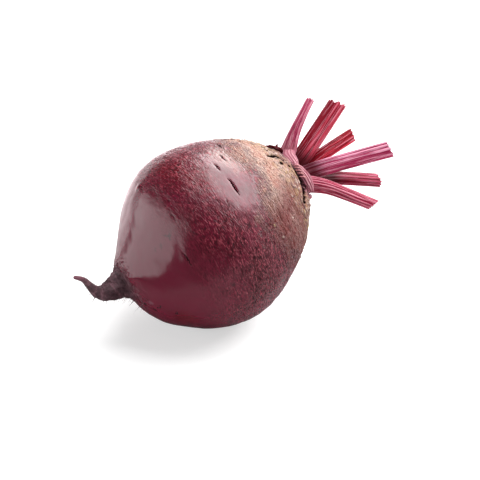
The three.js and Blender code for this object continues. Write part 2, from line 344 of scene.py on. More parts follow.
def makeStreakGroup():
    # Short dashes that run round the root: 1 on a dash, 0 between them.
    group, inside, outside = newGroup(
        "shortDashes",
        [
            ("Vector", "NodeSocketVector", (0, 0, 0)),
            ("Stretch", "NodeSocketVector", (1, 1, 1)),
            ("Fineness", "NodeSocketFloat", 1.0),
            ("Rarity", "NodeSocketFloat", 0.6),
            ("Edge", "NodeSocketFloat", 0.06),
        ],
        [("Mask", "NodeSocketFloat"), ("Height", "NodeSocketFloat")],
    )
    stretched = addNode(
        group, "ShaderNodeVectorMath",
        {0: inside.outputs["Vector"], 1: inside.outputs["Stretch"]}, operation="MULTIPLY",
    ).outputs[0]
    inputs = {"Vector": stretched, "Scale": inside.outputs["Fineness"], "Detail": 2.0, "Roughness": 0.55}
    inputs["Distortion"] = 0.25
    value = addNode(group, "ShaderNodeTexNoise", inputs).outputs["Fac"]
    low = calc(group, "SUBTRACT", inside.outputs["Rarity"], inside.outputs["Edge"])
    high = calc(group, "ADD", inside.outputs["Rarity"], inside.outputs["Edge"])
    mask = addNode(
        group, "ShaderNodeMapRange", {"Value": value, "From Min": low, "From Max": high},
        interpolation_type="SMOOTHSTEP",
    ).outputs["Result"]
    group.links.new(mask, outside.inputs["Mask"])
    group.links.new(value, outside.inputs["Height"])
    return group


ovalMark = makeMarkGroup()
shortDashes = makeStreakGroup()

print("root")
root = {
    "sides": 60,
    "rings": 96,
    "smoothing": 2,  # levels of subdivision
    # Rings from the crown to the tap root: along, side, above and radius.
    "shape": [
        (46.7, 1.2, 1.6, 2.5), (46.7, 1.2, 1.6, 5.5), (46.5, 1.2, 1.6, 8.0), (46.0, 1.2, 1.6, 9.6),
        (45.1, 1.2, 1.6, 10.6), (43.8, 1.2, 1.6, 10.9), (42.6, 1.2, 1.6, 11.0), (41.9, 1.2, 1.6, 11.7),
        (42.3, 1.2, 1.6, 12.8), (41.9, 1.2, 1.6, 14.4), (40.4, 1.1, 1.5, 16.4), (38.0, 1.1, 1.3, 19.5),
        (35.1, 1.0, 1.2, 22.6), (31.7, 0.9, 1.1, 25.8), (28.2, 0.8, 1.0, 28.6), (24.4, 0.7, 0.9, 31.1),
        (20.4, 0.6, 0.7, 33.4), (16.2, 0.5, 0.6, 35.3), (11.8, 0.3, 0.4, 37.0), (7.2, 0.2, 0.2, 38.4),
        (2.5, 0.1, 0.1, 39.5), (-2.3, 0, 0, 40.0), (-7.1, 0, 0, 39.7), (-11.8, 0, 0, 38.7),
        (-16.2, -0.1, -0.2, 37.1), (-20.4, -0.2, -0.4, 34.9), (-24.3, -0.3, -0.8, 32.3),
        (-28.0, -0.4, -1.3, 29.1), (-31.6, -0.6, -1.9, 25.6), (-35.1, -0.7, -2.4, 22.0),
        (-38.1, -0.7, -2.5, 18.7), (-40.2, -0.5, -2.0, 16.0), (-42.0, 0.0, -1.1, 13.2),
        (-43.3, 0.8, 0.2, 10.1), (-44.4, 1.4, 1.2, 7.7), (-46.0, 1.8, 1.9, 5.8), (-48.2, 1.8, 2.0, 5.1),
        (-50.6, 1.7, 2.0, 4.5), (-53.2, 1.7, 2.6, 3.8), (-55.4, 2.6, 3.6, 2.9), (-56.8, 3.9, 5.8, 2.0),
        (-57.4, 5.4, 8.0, 1.55), (-58.1, 6.7, 10.2, 1.2), (-59.6, 7.9, 11.6, 0.95), (-61.2, 8.9, 12.6, 0.75),
    ],
    "tailTurns": (4.2, 6.4),  # rings thinner than these radii turn to follow the tap root
    # Knobs left by side roots: along, turn, spread and height.
    "knobs": [(-45.5, 4.1, 1.9, 1.0), (-47.5, 3.1, 1.6, 0.9), (-50.5, 5.3, 1.5, 0.7), (-42.5, 5.6, 1.7, 0.7),
              (-43.9, -1.35, 1.3, 0.7), (-20.4, 0.36, 1.3, 0.5), (-42.4, -1.75, 0.8, 0.45),
              (-52.5, -1.0, 1.1, 0.5), (-41.2, 2.1, 1.0, 0.6)],
    # Hollows at the crown, painted near-black as shade: along, turn, half length round the root, half width, depth,
    # slant.
    "hollows": [(41.4, -0.7, 1.5, 0.8, 1.4, 0.1), (40.9, -0.85, 1.9, 1.1, 2.2, 0.1), (40.6, -1.03, 2.2, 1.3, 3.0, 0.1),
                (40.6, -1.22, 2.3, 1.7, 3.4, 0.1), (39.5, -1.36, 2.0, 2.0, 3.4, 0.2), (37.8, -1.42, 1.5, 1.7, 2.8, 0.3),
                (36.4, -1.46, 0.9, 1.1, 1.8, 0.3), (35.4, -0.36, 1.35, 3.0, 2.8, 0.1), (37.4, -0.47, 0.9, 0.6, 0.8, 0.5),
                (35.0, -0.56, 0.8, 0.6, 1.0, 0.2), (38.2, -0.66, 0.9, 0.5, 0.8, 0.5), (34.8, -0.02, 0.9, 0.5, 0.9, -0.6),
                (36.6, -0.1, 0.8, 0.5, 0.8, 0.4), (38.6, 1.3, 2.4, 0.9, 1.8, -0.2), (38.0, 2.6, 2.0, 0.8, 1.6, 0.2),
                (37.4, -2.4, 2.8, 0.9, 2.0, 0.1)],
}
scars = [
    # along, turn, half length round the root, half width, depth, slant
    (6.6, -0.6, 4.7, 0.55, 0.55, 0.1),
    (6.8, -0.3, 2.6, 0.4, 0.45, 0.1),
    (12.3, -0.19, 2.9, 0.38, 0.35, 0.05),
    (16.6, 0.07, 2.9, 0.35, 0.3, 0.1),
    (-0.1, -0.73, 2.0, 0.35, 0.16, 0.2),
    (-2.9, -0.65, 2.1, 0.35, 0.16, -0.1),
    (-24.6, -0.97, 3.1, 0.3, 0.2, 0.0),
    (-20.2, -0.47, 2.2, 0.3, 0.15, 0.1),
    (13.5, 0.75, 3.4, 0.45, 0.4, 0.1),
    (9.0, 1.5, 2.6, 0.4, 0.35, -0.2),
    (4.0, 2.3, 3.6, 0.5, 0.45, 0.1),
    (12.0, -2.2, 3.0, 0.45, 0.4, 0.15),
    (-8.0, 1.1, 2.4, 0.35, 0.3, 0.1),
]


def ringCentre(row):
    return Vector(row[:3])


def ringAtAlong(along):
    # Middle (side, above) and radius of the root where it swells, at a place along it.
    rows = [row for row in root["shape"] if row[0] < 41.5]
    for before, after in zip(rows, rows[1:]):
        if after[0] <= along <= before[0]:
            share = (before[0] - along) / (before[0] - after[0])
            return [p + (q - p) * share for p, q in zip(before[1:], after[1:])]
    return rows[0][1:]


def rootRows():
    # The rings that are made: closer together at the crown and the tap root.
    fine = [curvePoint(root["shape"], i / 1200) for i in range(1201)]
    reached, fromCrown = [0.0], [fine[0][3]]
    for before, after in zip(fine, fine[1:]):
        step = math.dist(before, after)
        arc = fromCrown[-1]
        reached.append(reached[-1] + step * (1.65 if arc < 27 or arc > 120 else 1.0))
        fromCrown.append(arc + step)
    rows, k = [], 0
    for ring in range(root["rings"]):
        wanted = reached[-1] * ring / (root["rings"] - 1)
        while k < len(fine) - 1 and reached[k] < wanted:
            k += 1
        rows.append((fine[k], fromCrown[k]))
    return rows


def rootRelief(along, radius, turn, place):
    # How far the skin stands out from the plain ring, in millimetres.
    share = radius / 40
    lobes = 0.5 * math.sin(2 * (turn - 0.71)) + 0.35 * math.sin(3 * (turn - 0.71))
    folds = 0.35 * math.sin(5 * turn + 0.5 * along) + 0.5 * noise.noise(place / 2.6)
    height = share * lobes + bell(along + 50, 6) * folds
    height += 0.45 * bell(along - 45, 1.6) * math.cos(6 * turn + 0.6) * smooth(6, 10, radius)
    uneven = 0.3 * noise.noise(place / 13) + 0.12 * noise.noise(place / 5)
    height += uneven * smooth(2, 20, radius)
    # Fine rings, broken into dashes, all over but on the smooth patch below the cork.
    dash = noise.noise(Vector((place.x * 0.62, place.y * 0.12, place.z * 0.12)))
    dash += 0.5 * noise.noise(Vector((place.x * 1.25, place.y * 0.25, place.z * 0.25)))
    calm = 1 - 0.75 * bell(along - 7, 9) * bell(turnApart(turn, -0.55) * radius, 17)
    height += 0.12 * dash * smooth(-34, -6, along) * smooth(3, 14, radius) * calm
    cork = corkReach(along, turn)
    if cork > -6:
        flaky = abs(noise.noise(Vector((place.x * 0.55, place.y * 0.16, place.z * 0.16)) + Vector((7, 3, 1))))
        crumbs = noise.noise(place * 0.75) + 0.6 * noise.noise(place * 1.5)
        height += smooth(-6, 6, cork) * (0.55 * (0.3 - flaky) + 0.16 * crumbs)
        height += 0.35 * smooth(-2, 10, cork) * noise.noise(place / 4.5)
    # The wrinkled neck.
    neck = smooth(-40, -45.5, along)
    if neck > 0:
        wrinkle = abs(noise.noise(Vector((place.x * 0.8, place.y * 0.5, place.z * 0.5))))
        height += neck * smooth(0.9, 4, radius) * (0.6 * (0.3 - wrinkle) + 0.35 * noise.noise(place * 0.75))
    for knobAlong, knobTurn, spread, tall in root["knobs"]:
        far = math.hypot(along - knobAlong, turnApart(turn, knobTurn) * radius)
        height += tall * bell(far, spread)
    return height * (smooth(0, 5, radius) if along > 0 else 1)


def ovalShare(along, turn, radius, oval):
    ovalAlong, ovalTurn, halfLength, halfWidth, _, slant = oval
    across = along - ovalAlong
    around = turnApart(turn, ovalTurn) * radius
    if abs(around) > 2.2 * halfLength or abs(across) > 2.2 * halfLength + halfWidth:
        return 0.0
    lengthwise = around * math.cos(slant) + across * math.sin(slant)
    widthwise = across * math.cos(slant) - around * math.sin(slant)
    return math.exp(-((lengthwise / halfLength) ** 4) - (widthwise / halfWidth) ** 2)


def corkReach(along, turn):
    # Distance inside the edge of the corky shoulder.
    edge = 19 + 2.2 * math.sin(2 * turn + 0.6) + 1.4 * math.sin(5 * turn + 1)
    edge -= 7.5 * bell(turnApart(turn, -1.15), 0.42)
    edge += 5 * bell(turnApart(turn, -0.68), 0.25)
    return along - edge


def makeRoot():
    rows = rootRows()
    first = rows[0][0]
    deselectAll()
    bpy.ops.mesh.primitive_circle_add(
        vertices=root["sides"], radius=first[3], location=ringCentre(first), rotation=(0, math.pi / 2, 0)
    )
    skin = bpy.context.object
    bpy.ops.object.transform_apply(location=True, rotation=True, scale=True)
    bpy.ops.object.mode_set(mode="EDIT")
    bpy.ops.mesh.select_all(action="SELECT")
    for (before, _), (after, _) in zip(rows, rows[1:]):
        step = ringCentre(after) - ringCentre(before)
        grow = after[3] / before[3]
        bpy.ops.mesh.extrude_region_move(TRANSFORM_OT_translate={"value": step})
        bpy.ops.transform.resize(value=(grow, grow, grow), center_override=ringCentre(after))
    bpy.ops.object.mode_set(mode="OBJECT")

    # Rings of the curled tap root turn to follow it.
    mesh = skin.data
    sides = root["sides"]
    places, alongs = [], []
    for ring, (row, arc) in enumerate(rows):
        centre, radius = ringCentre(row), row[3]
        following = rows[min(ring + 1, len(rows) - 1)][0]
        leading = rows[max(ring - 1, 0)][0]
        tangent = (ringCentre(following) - ringCentre(leading)).normalized()
        turned = 1 - smooth(*root["tailTurns"], radius) if row[0] < 0 else 0
        tailwards = Vector((-1, 0, 0)).lerp(tangent, turned).normalized()
        swing = Vector((-1, 0, 0)).rotation_difference(tailwards)
        for vertex in mesh.vertices[ring * sides:(ring + 1) * sides]:
            out = vertex.co - centre
            places.append(Vector((arc, out.y, out.z)))
            alongs.append(row[0])
            vertex.co = centre + swing @ out
    storeOnPoints(mesh, "skinPlace", "FLOAT_VECTOR", places)
    storeOnPoints(mesh, "ringAlong", "FLOAT", alongs)

    # Close both ends.
    for ring in (0, len(rows) - 1):
        makeActive(skin)
        for vertex in mesh.vertices:
            vertex.select = ring * sides <= vertex.index < (ring + 1) * sides
        bpy.ops.object.mode_set(mode="EDIT")
        bpy.ops.mesh.select_mode(type="VERT")
        bpy.ops.mesh.edge_face_add()
        bpy.ops.mesh.inset(thickness=rows[ring][0][3] * 0.5)
        bpy.ops.mesh.poke()
        bpy.ops.object.mode_set(mode="OBJECT")
    faceOutwards(skin)
    subdivision = skin.modifiers.new("smoothSkin", "SUBSURF")
    subdivision.levels = subdivision.render_levels = root["smoothing"]
    bpy.ops.object.modifier_apply(modifier=subdivision.name)
    reliefOnRoot(skin)
    return skin


def reliefOnRoot(skin):
    mesh = skin.data
    places = readVectors(mesh, "skinPlace")
    alongs = readNumbers(mesh, "ringAlong")
    normals = [vertex.normal.copy() for vertex in mesh.vertices]
    hollow, cork, moved = [], [], []
    for vertex, place, along, normal in zip(mesh.vertices, places, alongs, normals):
        radius = math.hypot(place.y, place.z)
        turn = math.atan2(place.y, place.z)
        height = rootRelief(along, radius, turn, place)
        deep = 0.0
        for scar in scars:
            height -= scar[4] * ovalShare(along, turn, radius, scar)
        for dark in root["hollows"]:
            share = ovalShare(along, turn, radius, dark)
            height -= dark[4] * share
            deep = max(deep, share)
        moved.append(vertex.co + normal * height)
        hollow.append(deep)
        cork.append(corkReach(along, turn))
    for vertex, place in zip(mesh.vertices, moved):
        vertex.co = place
    storeOnPoints(mesh, "hollow", "FLOAT", hollow)
    storeOnPoints(mesh, "corkReach", "FLOAT", cork)
    mesh.transform(partPose)
    for vertex in mesh.vertices:  # the flat spot that it rests on
        vertex.co.z = max(vertex.co.z, 0)
    mesh.update()


def markNode(tree, vector, along, turn, size, slant=0.0, softness=0.6):
    # A mark on the skin: half width along the root, half length round it, and depth.
    side, above, radius = ringAtAlong(along)
    turned = Matrix.Rotation(-turn, 3, "X") @ Matrix.Rotation(slant, 3, "Z")
    place = (along, side + radius * math.sin(turn), above + radius * math.cos(turn))
    node = addNode(tree, "ShaderNodeGroup", node_tree=ovalMark)
    tree.links.new(vector, node.inputs["Vector"])
    node.inputs["Place"].default_value = place
    node.inputs["Turn"].default_value = turned.to_euler()
    node.inputs["Size"].default_value = size
    node.inputs["Softness"].default_value = softness
    return node.outputs["Mask"]


skinColours = {
    "burgundy": paint(70, 9, 23),
    "redBand": paint(86, 8, 22),
    "purple": paint(90, 15, 37),
    # Pink of the dashes, with painted glints in it; also the pink centre of a ring spot.
    "pinkDashAndGlint": paint(150, 58, 72),
    "dashDark": paint(34, 5, 13),
    "corkPale": paint(156, 130, 120),
    "corkTan": paint(144, 96, 82),
    "corkBrown": paint(88, 46, 40),
    "corkLight": paint(198, 174, 160),
    "corkMauve": paint(98, 32, 34),
    "olive": paint(150, 122, 84),
    # Near-black: painted shade in the crown hollows, and dark spots at the neck.
    "darkSpotAndHollowShade": paint(22, 2, 5),
    "scarDark": paint(30, 3, 9),
    "scarPink": paint(140, 34, 54),
    "neckGrey": paint(66, 34, 43),
    "neckPale": paint(112, 72, 82),
    "tailPink": paint(116, 66, 80),
    "crownRed": paint(50, 5, 14),
    "collarPink": paint(150, 94, 102),
}
# Spots: along, turn, half sizes, slant, share and colour.
skinSpots = [
    (-20.4, 0.36, (1.7, 2.0, 6), 0.3, 0.7, "dashDark"), (-20.4, 0.36, (0.9, 1.0, 6), 0.3, 0.6, "pinkDashAndGlint"),
    (-23.6, 0.45, (1.0, 1.4, 6), 0.3, 0.6, "dashDark"), (-25.2, -0.6, (0.7, 2.2, 6), 0.5, 0.6, "dashDark"),
    (-26.0, -0.56, (0.5, 1.6, 6), -0.6, 0.5, "dashDark"), (-29.4, -0.6, (0.6, 1.8, 6), 0.4, 0.4, "dashDark"),
    (-31.5, -0.55, (0.5, 1.4, 6), 0.2, 0.35, "dashDark"), (-44.1, -1.6, (1.2, 1.3, 5), 0.0, 0.75, "neckPale"),
    (-43.0, -1.95, (0.8, 0.9, 5), 0.0, 0.9, "darkSpotAndHollowShade"), (-41.6, -1.62, (0.9, 1.2, 5), 0.0, 0.6, "neckPale"),
    (-41.0, -1.9, (0.7, 0.9, 5), 0.0, 0.9, "darkSpotAndHollowShade"), (-39.8, -1.7, (0.4, 1.7, 5), 0.6, 0.7, "dashDark"),
    (-35.3, -1.82, (0.7, 1.6, 5), 0.2, 0.6, "dashDark"), (-14.0, -1.5, (0.9, 1.2, 6), 0.3, 0.5, "dashDark"),
    (-12.0, 1.4, (1.4, 1.7, 6), 0.3, 0.6, "dashDark"), (-26.0, 2.4, (1.2, 1.5, 6), 0.3, 0.6, "dashDark"),
    (-18.0, -2.5, (1.3, 1.6, 6), 0.3, 0.5, "dashDark"),
]


def makeSkinMaterial():
    colours = skinColours
    material, tree, shader = newMaterial("beetSkin")
    place = addNode(tree, "ShaderNodeAttribute", attribute_name="skinPlace").outputs["Vector"]
    hollow = addNode(tree, "ShaderNodeAttribute", attribute_name="hollow").outputs["Fac"]
    reach = addNode(tree, "ShaderNodeAttribute", attribute_name="corkReach").outputs["Fac"]
    arc, _, above = addNode(tree, "ShaderNodeSeparateXYZ", {0: place}).outputs
    inRoot = addNode(tree, "ShaderNodeTexCoord").outputs["Object"]
    inRoot = addNode(
        tree, "ShaderNodeMapping",
        {"Vector": inRoot, "Location": Vector(beetroot["centre"]) * mm,
         "Rotation": (0, -math.radians(beetroot["crownTilt"]), 0), "Scale": (mm, mm, mm)},
        vector_type="TEXTURE",
    ).outputs[0]

    # Burgundy skin: slow changes, a redder band over the top, a purple underside and a pale painted highlight under the
    # cork.
    slow = grain(tree, place, (0.06, 0.06, 0.06), 1.0, 3.0, 0.6)
    middling = grain(tree, place, (0.5, 0.16, 0.16), 1.0, 4.0, 0.6)
    colour = blendColour(tree, ramp(tree, slow, 0.35, 0.65), colours["burgundy"], colours["purple"])
    colour = blendColour(tree, ramp(tree, above, -4, -30, 0.0, 0.9), colour, colours["purple"])
    colour = blendColour(tree, ramp(tree, arc, 74, 104, 0.0, 0.9), colour, colours["purple"])
    band = markNode(tree, inRoot, -5, -0.05, (13, 26, 26), 0.25, 0.7)
    band = calc(tree, "MULTIPLY", band, ramp(tree, middling, 0.35, 0.55, 0.35, 1.0))
    colour = blendColour(tree, band, colour, colours["redBand"])
    lowRed = markNode(tree, inRoot, -33, -2.0, (7, 9, 12), 0.2, 0.9)
    colour = blendColour(tree, calc(tree, "MULTIPLY", lowRed, 0.8), colour, colours["redBand"])
    # A pale patch where the overhead highlight is brightest, below the cork: a painted highlight in the pale cork
    # colour.
    paintedHighlightPale = markNode(tree, inRoot, 14, -0.2, (9, 16, 20), 0.2, 0.9)
    colour = blendColour(tree, calc(tree, "MULTIPLY", paintedHighlightPale, 0.5), colour, colours["corkPale"])

    # Dashes that run round the root, dense near the crown and rare near the tap root. The pink ones are partly pink
    # skin and partly painted glints on the dash ridges.
    calm = markNode(tree, inRoot, 7, -0.55, (13, 25, 22), 0.0, 0.75)
    dashZone = calc(tree, "MULTIPLY", ramp(tree, arc, 101, 70), ramp(tree, arc, 18, 26))
    dashZone = calc(tree, "MULTIPLY", dashZone, calc(tree, "SUBTRACT", 1.0, calc(tree, "MULTIPLY", calm, 0.8)))
    pink = addNode(tree, "ShaderNodeGroup", node_tree=shortDashes)
    dark = addNode(tree, "ShaderNodeGroup", node_tree=shortDashes)
    for node, stretch, rarity in ((pink, (2.3, 0.6, 0.6), 0.56), (dark, (2.0, 0.5, 0.5), 0.54)):
        tree.links.new(place, node.inputs["Vector"])
        node.inputs["Stretch"].default_value = stretch
        node.inputs["Rarity"].default_value = rarity
        node.inputs["Edge"].default_value = 0.025
    shifted = addNode(tree, "ShaderNodeVectorMath", {0: place, 1: (31, 17, 5)}, operation="ADD").outputs[0]
    tree.links.new(shifted, dark.inputs["Vector"])
    patches = ramp(tree, middling, 0.4, 0.6, 0.35, 1.0)
    pinkShare = calc(tree, "MULTIPLY", pink.outputs["Mask"], calc(tree, "MULTIPLY", dashZone, 0.75))
    darkShare = calc(tree, "MULTIPLY", dark.outputs["Mask"], calc(tree, "MULTIPLY", dashZone, 0.75))
    colour = blendColour(tree, calc(tree, "MULTIPLY", darkShare, patches), colour, colours["dashDark"])
    # Pink dashes: pink skin colour with painted glints in it.
    colour = blendColour(tree, calc(tree, "MULTIPLY", pinkShare, patches), colour, colours["pinkDashAndGlint"])

    # The corky shoulder: fine flakes and crumbs, ragged at its edge, fibrous lower down.
    flakes = grain(tree, place, (1.35, 0.5, 0.5), 1.0, 4.0, 0.65, 0.5)
    fibres = grain(tree, place, (1.5, 0.14, 0.14), 1.0, 4.0, 0.65, 0.2)
    crumbs = grain(tree, place, (1.5, 1.0, 1.0), 1.0, 3.0, 0.6, 0.4)
    blotch = grain(tree, place, (0.18, 0.13, 0.13), 1.0, 3.0, 0.5)
    edge = calc(tree, "ADD", calc(tree, "MULTIPLY", calc(tree, "SUBTRACT", fibres, 0.5), 18), reach)
    edge = calc(tree, "ADD", calc(tree, "MULTIPLY", calc(tree, "SUBTRACT", blotch, 0.5), 22), edge)
    edge = calc(tree, "ADD", calc(tree, "MULTIPLY", calc(tree, "SUBTRACT", crumbs, 0.5), 14), edge)
    corkMask = ramp(tree, edge, -5, 6)
    lower = calc(tree, "MULTIPLY", ramp(tree, above, 24, 13), ramp(tree, blotch, 0.3, 0.6, 0.75, 1.0))
    corkTone = blendColour(tree, ramp(tree, blotch, 0.38, 0.62), colours["corkPale"], colours["corkTan"])
    corkTone = blendColour(tree, calc(tree, "MULTIPLY", lower, 0.92), corkTone, colours["corkMauve"])
    streaks = calc(tree, "MULTIPLY", ramp(tree, fibres, 0.5, 0.38, 0.0, 1.0), ramp(tree, lower, 0, 1, 0.15, 0.75))
    corkTone = blendColour(tree, streaks, corkTone, colours["corkBrown"])
    corkTone = blendColour(tree, ramp(tree, flakes, 0.43, 0.36, 0.0, 0.6), corkTone, colours["corkBrown"])
    strokes = grain(tree, place, (2.2, 0.8, 0.8), 1.0, 3.0, 0.6, 0.3)
    paler = calc(tree, "MULTIPLY", ramp(tree, strokes, 0.5, 0.6), ramp(tree, lower, 0, 1, 0.55, 0.2, "LINEAR"))
    corkTone = blendColour(tree, paler, corkTone, blendColour(tree, lower, colours["corkLight"], colours["corkTan"]))
    rim = ramp(tree, arc, 42, 28)
    oliveShare = calc(tree, "MULTIPLY", ramp(tree, flakes, 0.47, 0.56), calc(tree, "MULTIPLY", rim, 0.8))
    corkTone = blendColour(tree, oliveShare, corkTone, colours["olive"])
    pits = calc(tree, "MULTIPLY", ramp(tree, crumbs, 0.41, 0.35), ramp(tree, arc, 58, 30, 0.35, 0.9))
    corkTone = blendColour(tree, pits, corkTone, colours["dashDark"])
    colour = blendColour(tree, corkMask, colour, corkTone)

    # The collar of old leaf bases and the crown between the stalks.
    collar = ramp(tree, arc, 22, 17)
    ribs = grain(tree, place, (0.1, 0.9, 0.9), 1.0, 3.0, 0.6)
    collarTone = blendColour(tree, ramp(tree, ribs, 0.4, 0.6), colours["crownRed"], colours["collarPink"])
    colour = blendColour(tree, collar, colour, collarTone)
    colour = blendColour(tree, ramp(tree, arc, 13.5, 11), colour, colours["crownRed"])

    # The neck and the tap root.
    neckEdge = calc(tree, "ADD", arc, calc(tree, "MULTIPLY", calc(tree, "SUBTRACT", middling, 0.5), 12))
    neck = ramp(tree, neckEdge, 123.5, 129)
    neckTone = blendColour(tree, ramp(tree, middling, 0.46, 0.7), colours["neckGrey"], colours["neckPale"])
    neckTone = blendColour(tree, ramp(tree, flakes, 0.45, 0.35, 0.0, 0.6), neckTone, colours["dashDark"])
    neckTone = blendColour(tree, ramp(tree, arc, 146, 152), neckTone, colours["tailPink"])
    colour = blendColour(tree, neck, colour, neckTone)

    # Scars, spots, and painted shade in the hollows.
    relief = 0.0
    ragged = addNode(tree, "ShaderNodeTexNoise", {"Vector": place, "Scale": 0.9, "Detail": 3.0}).outputs["Color"]
    ragged = addNode(tree, "ShaderNodeVectorMath", {0: ragged, 1: (0.5, 0.5, 0.5)}, operation="SUBTRACT").outputs[0]
    torn = addNode(
        tree, "ShaderNodeVectorMath", {0: ragged, 1: (1.5, 1.5, 1.5), 2: inRoot}, operation="MULTIPLY_ADD"
    ).outputs[0]
    for scarAlong, scarTurn, halfLength, halfWidth, depth, slant in scars:
        size = Vector((halfWidth * 1.15, halfLength * 1.15, 8))
        outer = markNode(tree, torn, scarAlong, scarTurn, size, -slant, 0.7)
        inner = markNode(tree, torn, scarAlong, scarTurn, (size.x * 0.7, size.y * 0.95, 8), -slant, 0.35)
        colour = blendColour(tree, calc(tree, "MULTIPLY", outer, min(0.85, 1.9 * depth)), colour, colours["scarPink"])
        colour = blendColour(tree, calc(tree, "MULTIPLY", inner, min(0.97, 4 * depth)), colour, colours["scarDark"])
        relief = calc(tree, "MAXIMUM", relief, calc(tree, "MULTIPLY", inner, min(1.0, 4 * depth)))
    for spotAlong, spotTurn, size, slant, share, colourName in skinSpots:
        spot = markNode(tree, torn, spotAlong, spotTurn, size, -slant, 0.5)
        colour = blendColour(tree, calc(tree, "MULTIPLY", spot, share), colour, colours[colourName])
    # The hollows are painted near-black inside their marks and where the hollow attribute is deep: painted shade.
    for darkAlong, darkTurn, halfLength, halfWidth, depth, slant in root["hollows"]:
        size = (halfWidth * 1.15, halfLength * 1.05, 7)
        spot = markNode(tree, torn, darkAlong, darkTurn, size, -slant, 0.4)
        colour = blendColour(tree, calc(tree, "MULTIPLY", spot, 0.96), colour, colours["darkSpotAndHollowShade"])
    colour = blendColour(tree, ramp(tree, hollow, 0.1, 0.4), colour, colours["darkSpotAndHollowShade"])
    tree.links.new(colour, shader.inputs["Base Color"])

    # Gloss: waxy skin, matt cork and neck.
    corkDull = calc(tree, "MULTIPLY", corkMask, calc(tree, "SUBTRACT", 1.0, calc(tree, "MULTIPLY", calm, 0.85)))
    dull = calc(tree, "MAXIMUM", corkDull, calc(tree, "MAXIMUM", neck, collar))
    dull = calc(tree, "MAXIMUM", dull, relief)
    wear = ramp(tree, middling, 0.3, 0.7, 0.14, 0.22, "LINEAR")
    wear = calc(tree, "MAXIMUM", wear, calc(tree, "MULTIPLY", calc(tree, "MAXIMUM", darkShare, pinkShare), 0.7))
    corkGloss = ramp(tree, flakes, 0.3, 0.7, 0.55, 0.75, "LINEAR")
    glossMix = addNode(tree, "ShaderNodeMix", {0: dull, 2: wear, 3: corkGloss}, data_type="FLOAT")
    deep = calc(tree, "MAXIMUM", ramp(tree, hollow, 0.08, 0.35), relief)
    glossMix = addNode(tree, "ShaderNodeMix", {0: deep, 2: glossMix.outputs[0], 3: 1.0}, data_type="FLOAT")
    tree.links.new(glossMix.outputs[0], shader.inputs["Roughness"])
    # Metallic, with their dark colour, takes the reflection off the dark marks and keeps the painted shade in the
    # hollows dark.
    tree.links.new(calc(tree, "MAXIMUM", deep, darkShare), shader.inputs["Metallic"])  # dark marks don't shine
    shader.inputs["Specular IOR Level"].default_value = 0.48

    # Bump: dashes, pores, flakes and scars.
    dashHeight = calc(tree, "MULTIPLY", pink.outputs["Height"], ramp(tree, dashZone, 0, 1, 0.02, 0.45, "LINEAR"))
    darkHeight = calc(tree, "MULTIPLY", dark.outputs["Height"], ramp(tree, dashZone, 0, 1, 0.01, -0.4, "LINEAR"))
    pores = calc(tree, "MULTIPLY", crumbs, ramp(tree, dashZone, 0, 1, 0.02, 0.12, "LINEAR"))
    height = calc(tree, "ADD", calc(tree, "ADD", dashHeight, darkHeight), pores)
    rough = calc(tree, "ADD", flakes, calc(tree, "MULTIPLY", crumbs, 1.2))
    height = calc(tree, "ADD", height, calc(tree, "MULTIPLY", calc(tree, "MULTIPLY", rough, dull), 1.5))
    height = calc(tree, "SUBTRACT", height, calc(tree, "MULTIPLY", relief, 0.5))
    bump = addNode(tree, "ShaderNodeBump", {"Height": height, "Strength": 1.0, "Distance": 0.0004})
    tree.links.new(bump.outputs[0], shader.inputs["Normal"])
    return material


skinMaterial = makeSkinMaterial()
rootPiece = makeRoot()
finishPiece(rootPiece, "rootSkin", skinMaterial, ("root",))

